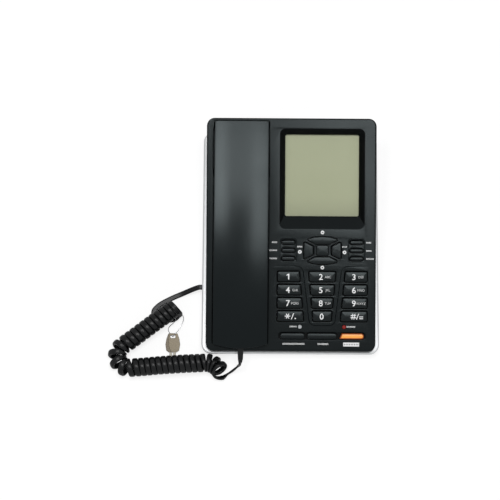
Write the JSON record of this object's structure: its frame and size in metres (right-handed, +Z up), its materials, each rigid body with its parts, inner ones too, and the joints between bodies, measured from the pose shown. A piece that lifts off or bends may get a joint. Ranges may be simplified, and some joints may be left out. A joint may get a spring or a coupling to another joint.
{
  "type": "corded telephone",
  "caption": "Desk telephone with a sloping black front panel over a silver tray, large display, push keys, a handset lying in its cradle on the left, and a curly handset cord with a small key.",
  "frame": {"origin": "on the table under the middle of the base, measured without the cord", "axes": "+X right, +Y to the back of the telephone, +Z up"},
  "size_m": [0.2462, 0.2305, 0.071],
  "materials": {
    "black_shell": "satin black plastic",
    "silver_shell": "silver-grey painted plastic",
    "clear_window": "clear polished plastic",
    "display_glass": "grey-green display",
    "white_plastic": "white plastic",
    "board": "green board",
    "grey_rubber": "silicone rubber",
    "dark_steel": "dark painted steel",
    "cell_wrap": "plain wrapped steel cells",
    "steel": "plated steel",
    "black_rubber": "black rubber",
    "inner_plastic": "dark plastic",
    "white_lens": "white lens",
    "red_lens": "red lens",
    "clear_plug": "clear plastic",
    "cord_jacket": "black soft plastic",
    "key_metal": "dull nickel",
    "brass": "brass",
    "key_black": "black plastic keys",
    "key_orange": "orange plastic key"
  },
  "bodies": {
    "base": {"upper_housing": "black_shell", "lower_housing": "silver_shell", "display_window": "clear_window", "lcd_panel": "display_glass", "backlight": "white_plastic", "main_board": "board", "keypad_mat": "grey_rubber", "loudspeaker": "dark_steel", "batteries": "cell_wrap", "battery_contacts": "steel", "base_screws": "steel", "rubber_feet": "black_rubber", "hook_switch": "inner_plastic", "line_jack": "inner_plastic", "cord_jack": "inner_plastic", "white_lamp": "white_lens", "red_lamp": "red_lens", "lock_barrel": "steel", "base_plug": "clear_plug", "curly_cord": "cord_jacket", "key_ring": "steel", "lock_key": "key_metal"},
    "handset": {"handset_back": "black_shell", "handset_face": "black_shell", "receiver_capsule": "inner_plastic", "microphone": "steel", "handset_weight": "dark_steel", "handset_jack": "inner_plastic", "handset_plug": "cord_jacket"},
    "hook": {"hook_plunger": "white_plastic"},
    "door": {"battery_door": "silver_shell"},
    "lock": {"lock_plug": "brass"},
    "key_1_cap": {"key_1": "key_black"},
    "key_2_cap": {"key_2": "key_black"},
    "key_3_cap": {"key_3": "key_black"},
    "key_4_cap": {"key_4": "key_black"},
    "key_5_cap": {"key_5": "key_black"},
    "key_6_cap": {"key_6": "key_black"},
    "key_7_cap": {"key_7": "key_black"},
    "key_8_cap": {"key_8": "key_black"},
    "key_9_cap": {"key_9": "key_black"},
    "key_star_cap": {"key_star": "key_black"},
    "key_0_cap": {"key_0": "key_black"},
    "key_hash_cap": {"key_hash": "key_black"},
    "soft_left_1_cap": {"soft_left_1": "key_black"},
    "soft_left_2_cap": {"soft_left_2": "key_black"},
    "soft_left_3_cap": {"soft_left_3": "key_black"},
    "soft_right_1_cap": {"soft_right_1": "key_black"},
    "soft_right_2_cap": {"soft_right_2": "key_black"},
    "soft_right_3_cap": {"soft_right_3": "key_black"},
    "nav_up_cap": {"nav_up": "key_black"},
    "nav_down_cap": {"nav_down": "key_black"},
    "nav_left_cap": {"nav_left": "key_black"},
    "nav_right_cap": {"nav_right": "key_black"},
    "nav_middle_cap": {"nav_middle": "key_black"},
    "long_left_key_cap": {"long_left_key": "key_black"},
    "long_middle_key_cap": {"long_middle_key": "key_black"},
    "long_right_key_cap": {"long_right_key": "key_orange"}
  },
  "joints": [
    {"name": "handset_lift", "type": "slide", "parent": "base", "child": "handset", "axis": [0, -0.2079, 0.9781], "range_m": [0, 0.1]},
    {"name": "battery_door_slide", "type": "slide", "parent": "base", "child": "door", "axis": [0, 1, 0], "range_m": [0, 0.07]},
    {"name": "lock_turn", "type": "hinge", "parent": "base", "child": "lock", "pos_m": [0.05, 0.1027, 0.031], "axis": [0, 1, 0], "range_deg": [0, 90]},
    {"name": "hook_rise", "type": "slide", "parent": "base", "child": "hook", "axis": [0, -0.2079, 0.9781], "range_m": [0, 0.004]},
    {"name": "key_1_press", "type": "slide", "parent": "base", "child": "key_1_cap", "axis": [0, 0.2079, -0.9781], "range_m": [0, 0.0012], "stiffness_N_per_m": 400},
    {"name": "key_2_press", "type": "slide", "parent": "base", "child": "key_2_cap", "axis": [0, 0.2079, -0.9781], "range_m": [0, 0.0012], "stiffness_N_per_m": 400},
    {"name": "key_3_press", "type": "slide", "parent": "base", "child": "key_3_cap", "axis": [0, 0.2079, -0.9781], "range_m": [0, 0.0012], "stiffness_N_per_m": 400},
    {"name": "key_4_press", "type": "slide", "parent": "base", "child": "key_4_cap", "axis": [0, 0.2079, -0.9781], "range_m": [0, 0.0012], "stiffness_N_per_m": 400},
    {"name": "key_5_press", "type": "slide", "parent": "base", "child": "key_5_cap", "axis": [0, 0.2079, -0.9781], "range_m": [0, 0.0012], "stiffness_N_per_m": 400},
    {"name": "key_6_press", "type": "slide", "parent": "base", "child": "key_6_cap", "axis": [0, 0.2079, -0.9781], "range_m": [0, 0.0012], "stiffness_N_per_m": 400},
    {"name": "key_7_press", "type": "slide", "parent": "base", "child": "key_7_cap", "axis": [0, 0.2079, -0.9781], "range_m": [0, 0.0012], "stiffness_N_per_m": 400},
    {"name": "key_8_press", "type": "slide", "parent": "base", "child": "key_8_cap", "axis": [0, 0.2079, -0.9781], "range_m": [0, 0.0012], "stiffness_N_per_m": 400},
    {"name": "key_9_press", "type": "slide", "parent": "base", "child": "key_9_cap", "axis": [0, 0.2079, -0.9781], "range_m": [0, 0.0012], "stiffness_N_per_m": 400},
    {"name": "key_star_press", "type": "slide", "parent": "base", "child": "key_star_cap", "axis": [0, 0.2079, -0.9781], "range_m": [0, 0.0012], "stiffness_N_per_m": 400},
    {"name": "key_0_press", "type": "slide", "parent": "base", "child": "key_0_cap", "axis": [0, 0.2079, -0.9781], "range_m": [0, 0.0012], "stiffness_N_per_m": 400},
    {"name": "key_hash_press", "type": "slide", "parent": "base", "child": "key_hash_cap", "axis": [0, 0.2079, -0.9781], "range_m": [0, 0.0012], "stiffness_N_per_m": 400},
    {"name": "soft_left_1_press", "type": "slide", "parent": "base", "child": "soft_left_1_cap", "axis": [0, 0.2079, -0.9781], "range_m": [0, 0.0012], "stiffness_N_per_m": 400},
    {"name": "soft_left_2_press", "type": "slide", "parent": "base", "child": "soft_left_2_cap", "axis": [0, 0.2079, -0.9781], "range_m": [0, 0.0012], "stiffness_N_per_m": 400},
    {"name": "soft_left_3_press", "type": "slide", "parent": "base", "child": "soft_left_3_cap", "axis": [0, 0.2079, -0.9781], "range_m": [0, 0.0012], "stiffness_N_per_m": 400},
    {"name": "soft_right_1_press", "type": "slide", "parent": "base", "child": "soft_right_1_cap", "axis": [0, 0.2079, -0.9781], "range_m": [0, 0.0012], "stiffness_N_per_m": 400},
    {"name": "soft_right_2_press", "type": "slide", "parent": "base", "child": "soft_right_2_cap", "axis": [0, 0.2079, -0.9781], "range_m": [0, 0.0012], "stiffness_N_per_m": 400},
    {"name": "soft_right_3_press", "type": "slide", "parent": "base", "child": "soft_right_3_cap", "axis": [0, 0.2079, -0.9781], "range_m": [0, 0.0012], "stiffness_N_per_m": 400},
    {"name": "nav_up_press", "type": "slide", "parent": "base", "child": "nav_up_cap", "axis": [0, 0.2079, -0.9781], "range_m": [0, 0.0012], "stiffness_N_per_m": 400},
    {"name": "nav_down_press", "type": "slide", "parent": "base", "child": "nav_down_cap", "axis": [0, 0.2079, -0.9781], "range_m": [0, 0.0012], "stiffness_N_per_m": 400},
    {"name": "nav_left_press", "type": "slide", "parent": "base", "child": "nav_left_cap", "axis": [0, 0.2079, -0.9781], "range_m": [0, 0.0012], "stiffness_N_per_m": 400},
    {"name": "nav_right_press", "type": "slide", "parent": "base", "child": "nav_right_cap", "axis": [0, 0.2079, -0.9781], "range_m": [0, 0.0012], "stiffness_N_per_m": 400},
    {"name": "nav_middle_press", "type": "slide", "parent": "base", "child": "nav_middle_cap", "axis": [0, 0.2079, -0.9781], "range_m": [0, 0.0012], "stiffness_N_per_m": 400},
    {"name": "long_left_key_press", "type": "slide", "parent": "base", "child": "long_left_key_cap", "axis": [0, 0.2079, -0.9781], "range_m": [0, 0.0012], "stiffness_N_per_m": 400},
    {"name": "long_middle_key_press", "type": "slide", "parent": "base", "child": "long_middle_key_cap", "axis": [0, 0.2079, -0.9781], "range_m": [0, 0.0012], "stiffness_N_per_m": 400},
    {"name": "long_right_key_press", "type": "slide", "parent": "base", "child": "long_right_key_cap", "axis": [0, 0.2079, -0.9781], "range_m": [0, 0.0012], "stiffness_N_per_m": 400}
  ],
  "couplings": [
    {"joint": "hook_rise", "follows": "handset_lift", "ratio": 0.04}
  ]
}
